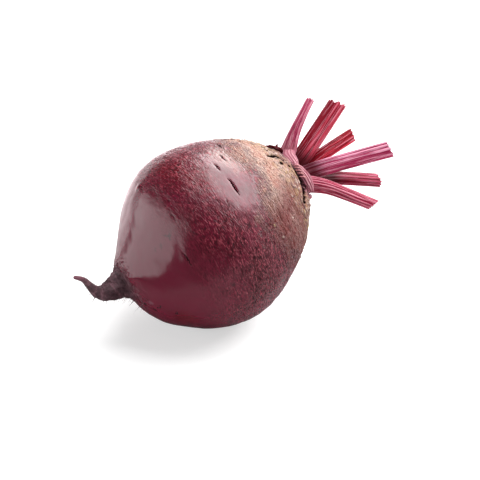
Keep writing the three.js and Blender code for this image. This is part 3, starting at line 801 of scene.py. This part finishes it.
print("leaf stalks")
stalkSides = 112
stalkStep = 0.6  # length of one ring
flareReach = 9  # length over which a stalk widens towards its seat
# Each stalk's seat-end colour is its own tint on the pale stalks and painted shade on the dark ones.
stalkSpecs = {
    "stalk_upper_thin": {
        "path": [(-2.5, 3.2, 5.8), (0.8, 3.8, 7.3), (4.2, 4.4, 9.8), (7.2, 4.8, 13.1), (10.9, 5.2, 16.7),
                 (16.4, 6.0, 20.8), (22.4, 7.6, 24.0)],
        "facing": (-0.3, 1), "width": 3.3, "depth": 3.3, "flare": 0.75, "taper": 0.9,
        "sizes": [(1.15, 1.1), (1.25, 1.2), (1.35, 1.3), (1.35, 1.3), (1.25, 1.25), (1.15, 1.15), (1.1, 1.1)],
        "ribs": 8, "ribShift": 0.3, "ribDepth": 0.09, "cut": (0.2, 0.1),
        "groove": paint(166, 62, 92), "ridge": paint(222, 152, 170), "baseTintAndShade": paint(182, 112, 126),
        "baseReach": 16, "paleSideTintAndShade": (0.0, 1),
    },
    "stalk_broad": {
        "path": [(-2.5, 0.9, 2.6), (2.0, 1.0, 3.3), (7.6, 1.3, 4.8), (18.8, 3.9, 8.6), (35.0, 8.0, 14.0)],
        "facing": (-0.45, 0.9), "width": 7.7, "depth": 5.2, "flare": -0.05, "taper": 0.98,
        "ribs": 9, "ribShift": 0.0, "ribDepth": 0.1, "cut": (0.15, -0.1), "lobes": 1.4,
        "groove": paint(114, 7, 26), "ridge": paint(172, 56, 74), "baseTintAndShade": paint(52, 1, 8),
        "baseReach": 19, "paleSideTintAndShade": (0.6, 1),
    },
    "stalk_back": {
        "path": [(-2.5, 3.6, -1.8), (3.0, 3.1, -1.7), (9.9, 1.9, -1.4), (18.5, 2.0, -0.7), (36.2, 3.9, -2.1)],
        "facing": (0.8, -0.6), "width": 5.9, "depth": 4.6, "flare": -0.05, "taper": 1.0,
        "ribs": 8, "ribShift": 0.5, "ribDepth": 0.08, "cut": (0.2, 0.1),
        "groove": paint(122, 7, 25), "ridge": paint(170, 44, 60), "baseTintAndShade": paint(52, 1, 8),
        "baseReach": 21, "paleSideTintAndShade": (0.5, -1),
    },
    "stalk_long": {
        "path": [(-2.5, -3.2, 1.1), (2.0, -3.9, 0.8), (11.5, -6.4, 0.0), (27.9, -12.4, -1.7), (40.1, -18.2, -2.2)],
        "facing": (-1, 0.3), "width": 6.7, "depth": 5.1, "flare": 0.0, "taper": 1.02,
        "ribs": 10, "ribShift": 0.2, "ribDepth": 0.1, "cut": (0.2, 0.1),
        "groove": paint(158, 42, 80), "ridge": paint(226, 156, 182), "baseTintAndShade": paint(66, 4, 17),
        "baseReach": 21, "paleSideTintAndShade": (0.25, -1),
    },
    "stalk_lower": {
        "path": [(-2.5, 0.0, -5.2), (2.6, -0.6, -5.7), (15.8, -3.4, -10.0), (26.1, -7.2, -15.1),
                 (35.2, -10.8, -20.1)],
        "facing": (0.1, -1), "width": 6.3, "depth": 5.9, "flare": 0.0, "taper": 1.0,
        "ribs": 10, "ribShift": 0.0, "ribDepth": 0.08, "cut": (-0.15, 0.1),
        "groove": paint(102, 7, 30), "ridge": paint(170, 64, 92), "baseTintAndShade": paint(50, 2, 9),
        "baseReach": 30, "paleSideTintAndShade": (0.0, 1),
    },
    "stalk_front": {
        "path": [(-2.5, -6.8, -0.5), (0.2, -8.2, -1.0), (3.4, -10.6, -1.9), (7.2, -15.9, -3.3),
                 (11.6, -22.6, -6.6), (18.2, -30.4, -12.9)],
        "facing": (-0.9, 0.45), "width": 6.0, "depth": 4.9, "flare": 0.25, "taper": 0.84,
        "ribs": 15, "ribShift": 0.3, "ribDepth": 0.06, "cut": (-0.5, 0.2),
        "groove": paint(148, 34, 62), "ridge": paint(218, 134, 152), "baseTintAndShade": paint(172, 106, 120),
        "baseReach": 13, "paleSideTintAndShade": (0.0, 1),
    },
}


def makeStraightStem(sides, length):
    # A straight closed tube of radius 1, up the z axis, with a cut top.
    steps = max(8, round(length / stalkStep))
    deselectAll()
    bpy.ops.mesh.primitive_circle_add(vertices=sides, radius=1, location=(0, 0, 0))
    stem = bpy.context.object
    bpy.ops.object.mode_set(mode="EDIT")
    bpy.ops.mesh.select_all(action="SELECT")
    for _ in range(steps):
        bpy.ops.mesh.extrude_region_move(TRANSFORM_OT_translate={"value": (0, 0, length / steps)})
    for shrink in (0.93, 0.85, 0.75, 0.66, 0.5):
        bpy.ops.mesh.extrude_region_move(TRANSFORM_OT_translate={"value": (0, 0, 0)})
        bpy.ops.transform.resize(value=(shrink, shrink, 1), center_override=(0, 0, length))
    bpy.ops.mesh.merge(type="CENTER")
    bpy.ops.object.mode_set(mode="OBJECT")
    for vertex in stem.data.vertices:
        vertex.select = vertex.co.z < 1e-4
    bpy.ops.object.mode_set(mode="EDIT")
    bpy.ops.mesh.edge_face_add()
    bpy.ops.object.mode_set(mode="OBJECT")
    return stem


def pathStations(points, count=240):
    # Evenly spaced places along a smooth path, with the way that it runs there.
    fine = [Vector(curvePoint(points, i / 2000)) for i in range(2001)]
    reached = [0.0]
    for before, after in zip(fine, fine[1:]):
        reached.append(reached[-1] + (after - before).length)
    places, k = [], 0
    for i in range(count + 1):
        wanted = reached[-1] * i / count
        while k < 2000 and reached[k] < wanted:
            k += 1
        places.append(fine[k])
    ways = [(places[min(i + 1, count)] - places[max(i - 1, 0)]).normalized() for i in range(count + 1)]
    return places, ways, reached[-1]


def stationAt(stations, share):
    places, ways, _ = stations
    spot = max(0.0, min(1.0, share)) * (len(places) - 1)
    i = min(int(spot), len(places) - 2)
    return places[i].lerp(places[i + 1], spot - i), ways[i].lerp(ways[i + 1], spot - i).normalized()


def makeStem(spec):
    stations = pathStations(spec["path"])
    length = stations[2]
    stem = makeStraightStem(spec.get("sides", stalkSides), length)
    mesh = stem.data
    outward = Vector((0, *spec["facing"])).normalized()
    places, ribValues, cuts = [], [], []
    for vertex in mesh.vertices:
        distance = vertex.co.z
        share = distance / length
        inner = min(1.0, math.hypot(vertex.co.x, vertex.co.y))
        angle = math.atan2(vertex.co.y, vertex.co.x)
        centre, way = stationAt(stations, share)
        across = way.cross(outward).normalized()
        back = across.cross(way)
        size = (1 + (spec["taper"] - 1) * share) * (1 + spec["flare"] * bell(distance - 3, flareReach))
        wider, deeper = curvePoint(spec["sizes"], share) if "sizes" in spec else (1, 1)
        halfWidth, halfDepth = spec["width"] / 2 * size * wider, spec["depth"] / 2 * math.sqrt(size) * deeper
        warped = angle + 0.12 * math.sin(2 * angle + spec["ribShift"] * 5)
        warped += 0.02 * noise.noise(Vector((angle, share * 3, spec["width"])))
        rib = 0.5 + 0.5 * math.cos(spec["ribs"] * warped + spec["ribShift"] * 2 * math.pi)
        around = Vector((math.cos(angle) * 6, math.sin(angle) * 6, distance * 0.05 + spec["width"]))
        rib = rib ** 0.8 + 0.12 * noise.noise(around)
        swell = 1 + spec["ribDepth"] * (rib - 0.45) * 1.6 * smooth(0, 5, distance)
        channel = 1 - spec.get("channel", 0.34) * max(0.0, -math.sin(angle)) ** 2
        x = halfWidth * swell * inner * math.cos(angle)
        y = halfDepth * swell * channel * inner * math.sin(angle)
        slope = (spec["cut"][0] * x + spec["cut"][1] * y) * smooth(0.85, 1, share)
        dish = 0
        if share >= 0.999:  # the cut end
            uneven = 0.12 * noise.noise(Vector((x, y, spec["width"])) * 1.6) if inner < 0.98 else 0
            dish = 0.35 * (1 - inner * inner) + uneven
        lobes = spec.get("lobes", 0.5) * (rib - 0.5) * smooth(0.9, 1, share) * inner
        vertex.co = centre + across * x + back * y + way * (slope - dish + lobes)
        places.append(Vector((x, y, distance)))
        ribValues.append(rib)
        cuts.append(1.0 if share > 0.999 and inner < 0.95 else 0.0)
    storeOnPoints(mesh, "stalkPlace", "FLOAT_VECTOR", places)
    storeOnPoints(mesh, "rib", "FLOAT", ribValues)
    storeOnPoints(mesh, "cutFace", "FLOAT", cuts)
    mesh.transform(partPose @ Matrix.Translation(crownSeat) if spec.get("fromSeat", True) else partPose)
    faceOutwards(stem)
    return stem


def makeFleshGroup():
    # Ribbed flesh: pale ridges, crimson grooves and fine lengthwise lines; towards the seat a separate colour takes
    # over, a tint on the pale stalks and painted shade on the dark ones.
    group, inside, outside = newGroup(
        "ribbedFlesh",
        [
            ("Place", "NodeSocketVector", (0, 0, 0)),
            ("Rib", "NodeSocketFloat", 0.5),
            ("Cut", "NodeSocketFloat", 0.0),
            ("Groove", "NodeSocketColor", (0.3, 0.02, 0.06, 1)),
            ("Ridge", "NodeSocketColor", (0.5, 0.2, 0.26, 1)),
            ("Base", "NodeSocketColor", (0.2, 0.02, 0.04, 1)),
            ("Base Reach", "NodeSocketFloat", 16.0),
            ("Pale Side", "NodeSocketFloat", 0.0),
        ],
        [("Colour", "NodeSocketColor"), ("Height", "NodeSocketFloat")],
    )
    place = inside.outputs["Place"]
    across, _, distance = addNode(group, "ShaderNodeSeparateXYZ", {0: place}).outputs
    lines = grain(group, place, (2.7, 2.7, 0.05), 1.0, 3.0, 0.6)
    hairlines = grain(group, place, (3.4, 3.4, 0.07), 1.0, 2.0, 0.5)
    cloud = grain(group, place, (0.4, 0.4, 0.08), 1.0, 3.0, 0.6)
    # One side across the stalk is made paler: on the long stalk this is painted light on the upper side against its
    # shaded underside, on the others the stalk's own tint.
    towardsSide = calc(group, "MULTIPLY", across, inside.outputs["Pale Side"])
    ridgeShare = calc(group, "MULTIPLY", calc(group, "SUBTRACT", lines, 0.5), 3.2)
    ridgeShare = calc(group, "ADD", ridgeShare, calc(group, "MULTIPLY", inside.outputs["Rib"], 0.75))
    ridgeShare = calc(group, "ADD", ridgeShare, calc(group, "MULTIPLY", calc(group, "SUBTRACT", cloud, 0.5), 1.1))
    ridgeShare = calc(group, "ADD", ridgeShare, towardsSide)
    colour = blendColour(group, ramp(group, ridgeShare, 0.3, 1.0), inside.outputs["Groove"], inside.outputs["Ridge"])
    colour = blendColour(group, ramp(group, hairlines, 0.57, 0.62, 0.0, 0.45), colour, (0.62, 0.28, 0.36, 1))
    colour = blendColour(group, ramp(group, hairlines, 0.44, 0.37, 0.0, 0.7), colour, (0.07, 0.002, 0.008, 1))
    # Towards the seat the seat-end colour takes over: on the dark stalks it is painted shade where the stalks crowd and
    # shade each other.
    reached = calc(group, "SUBTRACT", inside.outputs["Base Reach"], calc(group, "ADD", distance, calc(group, "MULTIPLY", lines, 4)))
    baseTintAndShadeShare = ramp(group, reached, 0, 9, 0.0, 0.92)
    colour = blendColour(group, baseTintAndShadeShare, colour, inside.outputs["Base"])
    fibres = addNode(
        group, "ShaderNodeTexVoronoi", {"Vector": place, "Scale": 1.5, "Randomness": 0.9}, feature="F1",
    ).outputs["Distance"]
    face = blendColour(group, ramp(group, fibres, 0.15, 0.4), (0.36, 0.12, 0.15, 1), (0.2, 0.02, 0.05, 1))
    colour = blendColour(group, inside.outputs["Cut"], colour, face)
    height = calc(group, "ADD", calc(group, "MULTIPLY", lines, 1.0), calc(group, "MULTIPLY", hairlines, 0.5))
    group.links.new(colour, outside.inputs["Colour"])
    group.links.new(height, outside.inputs["Height"])
    return group


ribbedFlesh = makeFleshGroup()


def makeStalkMaterial(name, spec):
    material, tree, shader = newMaterial(name)
    flesh = addNode(tree, "ShaderNodeGroup", node_tree=ribbedFlesh)
    for socket, attribute, output in (
        ("Place", "stalkPlace", "Vector"), ("Rib", "rib", "Fac"), ("Cut", "cutFace", "Fac"),
    ):
        source = addNode(tree, "ShaderNodeAttribute", attribute_name=attribute)
        tree.links.new(source.outputs[output], flesh.inputs[socket])
    flesh.inputs["Groove"].default_value = spec["groove"]
    flesh.inputs["Ridge"].default_value = spec["ridge"]
    flesh.inputs["Base"].default_value = spec["baseTintAndShade"]
    flesh.inputs["Base Reach"].default_value = spec.get("baseReach", 0)
    # The paler side is partly the stalk's own tint and partly painted light against a shaded underside.
    share, sign = spec.get("paleSideTintAndShade", (0, 1))
    flesh.inputs["Pale Side"].default_value = share * sign / (spec.get("width", 1) / 2) if share else 0
    tree.links.new(flesh.outputs["Colour"], shader.inputs["Base Color"])
    bump = addNode(tree, "ShaderNodeBump", {"Height": flesh.outputs["Height"], "Strength": 0.8, "Distance": 0.0003})
    tree.links.new(bump.outputs[0], shader.inputs["Normal"])
    tree.links.new(ramp(tree, flesh.outputs["Height"], 0.4, 1.1, 0.38, 0.55, "LINEAR"), shader.inputs["Roughness"])
    shader.inputs["Specular IOR Level"].default_value = 0.07
    return material


for stalkName, stalkSpec in stalkSpecs.items():
    stalkPiece = makeStem(stalkSpec)
    stalkMaterial = makeStalkMaterial(stalkName + "Flesh", stalkSpec)
    finishPiece(stalkPiece, stalkName + "_flesh", stalkMaterial, (stalkName,))

print("crown")
sheathColours = {"groove": paint(154, 88, 102), "ridge": paint(206, 156, 164), "baseTintAndShade": paint(182, 112, 126)}
strandColours = {"groove": paint(160, 96, 100), "ridge": paint(196, 148, 142), "baseTintAndShade": paint(150, 90, 100)}
stubColours = {"groove": paint(74, 10, 20), "ridge": paint(136, 48, 58), "baseTintAndShade": paint(60, 10, 18)}
# Sheaths: leaf bases that clasp the crown. Paths are in the root's own frame.
sheaths = {
    "upperSheath": {
        "path": [(54.9, 6.4, 18.0), (51.2, 5.9, 14.2), (48.4, 5.0, 11.8), (46.4, 3.2, 12.1), (45.0, 0.6, 12.9),
                 (44.2, -2.6, 12.7), (43.8, -5.2, 12.1), (43.6, -7.2, 11.2)],
        "sizes": [(0.15, 0.3), (0.3, 0.8), (0.6, 1.3), (1.05, 1.35), (1.05, 1.0), (1.0, 0.85), (0.85, 0.75), (0.4, 0.4)],
        "width": 4.9, "depth": 1.7, "facing": (-0.2, 1), "ribs": 15, "ribDepth": 0.04, "channel": 0.0, "baseReach": 17,
    },
    "frontSheath": {
        "path": [(42.6, -6.2, 12.8), (43.7, -7.8, 10.6), (44.3, -9.3, 8.0), (44.7, -10.2, 5.4),
                 (44.9, -10.7, 2.8), (44.9, -11.2, 0.6), (44.7, -11.6, -0.9)],
        "sizes": [(0.45, 0.4), (0.75, 0.7), (0.95, 0.9), (1.1, 1.0), (1.1, 1.1), (0.85, 1.3), (0.6, 0.8)],
        "width": 3.4, "depth": 2.0, "facing": (-1, 0.35), "ribs": 11, "ribDepth": 0.12, "channel": 0.0,
    },
    "rearSheath": {
        "path": [(41.5, 12.0, 4.5), (43.6, 11.8, 1.0), (44.6, 11.0, -2.6), (44.0, 8.8, -6.2), (42.4, 6.6, -9.0)],
        "sizes": [(0.4, 0.4), (0.9, 0.9), (1.1, 1.1), (0.8, 0.8), (0.35, 0.4)],
        "width": 5.0, "depth": 2.4, "facing": (1, -0.1), "ribs": 9, "ribDepth": 0.08,
    },
    "lowerSheath": {
        "path": [(41.6, 3.5, -9.4), (43.8, 0.6, -9.6), (44.8, -3.0, -9.0), (44.2, -7.0, -7.2), (42.6, -9.8, -5.4)],
        "sizes": [(0.4, 0.4), (0.9, 0.9), (1.1, 1.1), (0.8, 0.8), (0.35, 0.4)],
        "width": 5.0, "depth": 2.4, "facing": (-0.2, -1), "ribs": 9, "ribDepth": 0.08,
    },
}
# Dried stubs of older leaves round the collar: path, width and depth.
stubs = [
    ([(43.4, 6.0, 12.4), (42.0, 4.4, 15.4), (40.2, 3.2, 18.4), (38.0, 2.2, 21.4)], 4.4, 1.6),
    ([(41.0, 9.6, 10.2), (43.6, 10.2, 11.6), (45.8, 10.6, 12.8)], 4.2, 2.0),
    ([(41.5, 12.0, -2.6), (43.8, 12.8, -3.0), (45.4, 13.2, -3.4)], 3.0, 1.6),
    ([(41.4, 1.4, -9.6), (43.8, 1.5, -10.6), (45.4, 1.6, -11.4)], 3.4, 1.5),
]
# Frayed fibres between the cork and the front sheath: start and end.
strands = [
    ((41.0, -8.4, 14.0), (44.6, -7.4, 10.4)), ((40.6, -9.7, 13.7), (44.2, -8.9, 9.8)),
    ((40.2, -11.0, 13.2), (44.0, -10.2, 8.8)), ((40.0, -12.2, 12.4), (43.9, -11.0, 7.6)),
    ((40.1, -13.4, 10.9), (44.0, -11.6, 6.2)),
]


def sheathSpec(spec, colours):
    full = {"flare": 0.0, "taper": 1.0, "ribShift": 0.1, "ribDepth": 0.12, "cut": (0, 0), "fromSeat": False}
    return {**full, **spec, **colours}


stubMaterial = makeStalkMaterial("driedStub", stubColours)
for sheathName, sheath in sheaths.items():
    spec = sheathSpec(sheath, sheathColours)
    finishPiece(makeStem(spec), sheathName, makeStalkMaterial(sheathName + "Flesh", spec))


def joinPieces(pieces):
    deselectAll()
    for piece in pieces:
        piece.select_set(True)
    bpy.context.view_layer.objects.active = pieces[0]
    bpy.ops.object.join()
    return pieces[0]


def makeStubs():
    made = []
    for path, width, depth in stubs:
        outward = Vector((0, path[1][1] - 1.2, path[1][2] - 1.6)).normalized()
        spec = {"path": path, "sizes": [(1, 1), (1.05, 1), (0.9, 0.8), (0.6, 0.5)], "width": width, "depth": depth}
        spec.update({"facing": (outward.y, outward.z), "ribs": 7, "cut": (0.3, 0.2)})
        made.append(makeStem(sheathSpec(spec, stubColours)))
    return joinPieces(made)


def makeStrands():
    made = []
    for start, end in strands:
        middle = (Vector(start) + Vector(end)) / 2 + Vector((0.4, -0.8, 0.6))
        spec = {"path": [start, tuple(middle), end], "sizes": [(0.5, 0.5), (1, 1), (0.7, 0.7)]}
        spec.update({"width": 0.7, "depth": 0.55, "facing": (-0.7, 0.7), "ribs": 3, "sides": 12})
        made.append(makeStem(sheathSpec(spec, strandColours)))
    return joinPieces(made)


finishPiece(makeStubs(), "oldLeafStubs", stubMaterial)
finishPiece(makeStrands(), "frayedFibres", makeStalkMaterial("paleFibre", strandColours))

print("cork chips and hair roots")
chips = {"count": 520, "length": (0.7, 2.4), "width": (0.5, 1.2), "thickness": (0.3, 0.8), "lift": (0.1, 0.7)}
hairs = {"count": 40, "length": (1.4, 4.6), "radius": (0.09, 0.15)}


def makeChip():
    # One curled chip of cork, a millimetre across.
    deselectAll()
    bpy.ops.mesh.primitive_cylinder_add(vertices=9, radius=0.5, depth=0.5, location=(0, 0, 0))
    chip = bpy.context.object
    bpy.ops.object.mode_set(mode="EDIT")
    bpy.ops.mesh.select_all(action="DESELECT")
    bpy.ops.mesh.select_mode(type="FACE")
    bpy.ops.object.mode_set(mode="OBJECT")
    for face in chip.data.polygons:
        face.select = face.normal.z > 0.9
    bpy.ops.object.mode_set(mode="EDIT")
    bpy.ops.mesh.inset(thickness=0.14)
    bpy.ops.transform.translate(value=(0, 0, 0.18))
    bpy.ops.object.mode_set(mode="OBJECT")
    for vertex in chip.data.vertices:
        vertex.co += 0.14 * noise.noise_vector(vertex.co * 4.3 + Vector((3.1, 1.7, 2.4)))
        vertex.co.z -= 0.7 * vertex.co.x**2
    return chip


def makeHair():
    # One hair root, a millimetre long and curved, up the z axis.
    deselectAll()
    bpy.ops.mesh.primitive_circle_add(vertices=6, radius=1, location=(0, 0, 0))
    hair = bpy.context.object
    bpy.ops.object.mode_set(mode="EDIT")
    bpy.ops.mesh.select_all(action="SELECT")
    bpy.ops.mesh.edge_face_add()
    for step in range(7):
        bpy.ops.mesh.extrude_region_move(TRANSFORM_OT_translate={"value": (0.012 * step, 0.006 * step, 1 / 7)})
        bpy.ops.transform.resize(value=(0.82, 0.82, 1))
    bpy.ops.object.mode_set(mode="OBJECT")
    faceOutwards(hair)
    return hair


def copyTo(source, matrix, tone):
    made = source.copy()
    made.data = source.data.copy()
    bpy.context.scene.collection.objects.link(made)
    made.data.transform(matrix)
    storeOnPoints(made.data, "tone", "FLOAT", [tone] * len(made.data.vertices))
    return made


def skinFrames():
    # What the finished root stores at its points, and the way towards the crown.
    mesh = rootPiece.data
    places = readVectors(mesh, "skinPlace")
    reaches = readNumbers(mesh, "corkReach")
    deeps = readNumbers(mesh, "hollow")
    axis = (partPose.to_3x3() @ Vector((1, 0, 0))).normalized()
    return places, reaches, deeps, axis


def skinMap(places):
    # The root's points by arc and turn. Blender numbers them anew each run, so a random place
    # is drawn, and then its nearest point is taken.
    tree = kdtree.KDTree(len(places))
    for i, place in enumerate(places):
        tree.insert(mapPoint(place.x, math.atan2(place.y, place.z)), i)
    tree.balance()
    return tree


mapRadius = 30


def mapPoint(arc, turn):
    return (arc, mapRadius * math.sin(turn), mapRadius * math.cos(turn))


def randomPoint(tree, lowArc, highArc):
    return tree.find(mapPoint(random.uniform(lowArc, highArc), random.uniform(-math.pi, math.pi)))[1]


def scatterChips():
    places, reaches, deeps, axis = skinFrames()
    vertices = rootPiece.data.vertices
    tree = skinMap(places)
    chip = makeChip()
    made = []
    while len(made) < chips["count"]:
        i = randomPoint(tree, 20, 70)
        nearRim = smooth(46, 25, places[i].x)
        if reaches[i] < 1 or deeps[i] > 0.002 or random.random() > 0.05 + 0.95 * nearRim**2:
            continue
        normal = vertices[i].normal.normalized()
        around = axis.cross(normal).normalized()
        crownwards = normal.cross(around)
        swing = random.uniform(-0.5, 0.5)
        lengthwise = around * math.cos(swing) + crownwards * math.sin(swing)
        widthwise = normal.cross(lengthwise)
        lift = random.uniform(*chips["lift"])
        widthwise, upwards = (
            widthwise * math.cos(lift) + normal * math.sin(lift),
            normal * math.cos(lift) - widthwise * math.sin(lift),
        )
        size = [random.uniform(*chips[key]) * mm for key in ("length", "width", "thickness")]
        basis = Matrix((lengthwise * size[0], widthwise * size[1], upwards * size[2])).transposed().to_4x4()
        made.append(copyTo(chip, Matrix.Translation(vertices[i].co) @ basis, random.random()))
    bpy.data.objects.remove(chip)
    return joinPieces(made)


def scatterHairs():
    places, _, _, axis = skinFrames()
    vertices = rootPiece.data.vertices
    tree = skinMap(places)
    hair = makeHair()
    made = []
    while len(made) < hairs["count"]:
        i = randomPoint(tree, 123, 146)
        normal = vertices[i].normal.normalized()
        if normal.z > -0.3 and random.random() < 0.85:
            continue
        way = (normal - axis * random.uniform(0.1, 0.9) + Vector((0, 0, -0.25))).normalized()
        length = random.uniform(*hairs["length"]) * mm
        thick = random.uniform(*hairs["radius"]) * mm
        turned = way.to_track_quat("Z", "Y").to_matrix().to_4x4() @ Matrix.Rotation(random.uniform(0, 6.28), 4, "Z")
        matrix = Matrix.Translation(vertices[i].co - normal * 0.2 * mm) @ turned @ Matrix.Diagonal((thick, thick, length, 1))
        made.append(copyTo(hair, matrix, random.random()))
    bpy.data.objects.remove(hair)
    return joinPieces(made)


def makeChipMaterial():
    material, tree, shader = newMaterial("corkChip")
    tone = addNode(tree, "ShaderNodeAttribute", attribute_name="tone").outputs["Fac"]
    place = addNode(tree, "ShaderNodeTexCoord").outputs["Object"]
    mottle = grain(tree, place, (1, 1, 1), 2600, 3.0, 0.6)
    colour = blendColour(tree, ramp(tree, tone, 0.2, 0.6), skinColours["corkBrown"], skinColours["corkPale"])
    colour = blendColour(tree, ramp(tree, tone, 0.9, 0.92), colour, skinColours["olive"])
    colour = blendColour(tree, ramp(tree, mottle, 0.5, 0.7, 0.0, 0.5), colour, skinColours["corkLight"])
    colour = blendColour(tree, ramp(tree, mottle, 0.45, 0.35, 0.0, 0.5), colour, skinColours["corkBrown"])
    tree.links.new(colour, shader.inputs["Base Color"])
    tree.links.new(ramp(tree, mottle, 0.3, 0.7, 0.5, 0.7, "LINEAR"), shader.inputs["Roughness"])
    bump = addNode(tree, "ShaderNodeBump", {"Height": mottle, "Strength": 0.7, "Distance": 0.0002})
    tree.links.new(bump.outputs[0], shader.inputs["Normal"])
    return material


def makeHairMaterial():
    material, tree, shader = newMaterial("hairRoot")
    tone = addNode(tree, "ShaderNodeAttribute", attribute_name="tone").outputs["Fac"]
    place = addNode(tree, "ShaderNodeTexCoord").outputs["Object"]
    mottle = grain(tree, place, (1, 1, 1), 1800, 2.0, 0.6)
    share = calc(tree, "ADD", tone, calc(tree, "MULTIPLY", calc(tree, "SUBTRACT", mottle, 0.5), 1.5))
    colour = blendColour(tree, ramp(tree, share, 0.1, 0.9), skinColours["neckGrey"], skinColours["neckPale"])
    tree.links.new(colour, shader.inputs["Base Color"])
    tree.links.new(ramp(tree, mottle, 0.3, 0.7, 0.5, 0.7, "LINEAR"), shader.inputs["Roughness"])
    return material


finishPiece(scatterChips(), "corkChips", makeChipMaterial())
finishPiece(scatterHairs(), "hairRoots", makeHairMaterial())
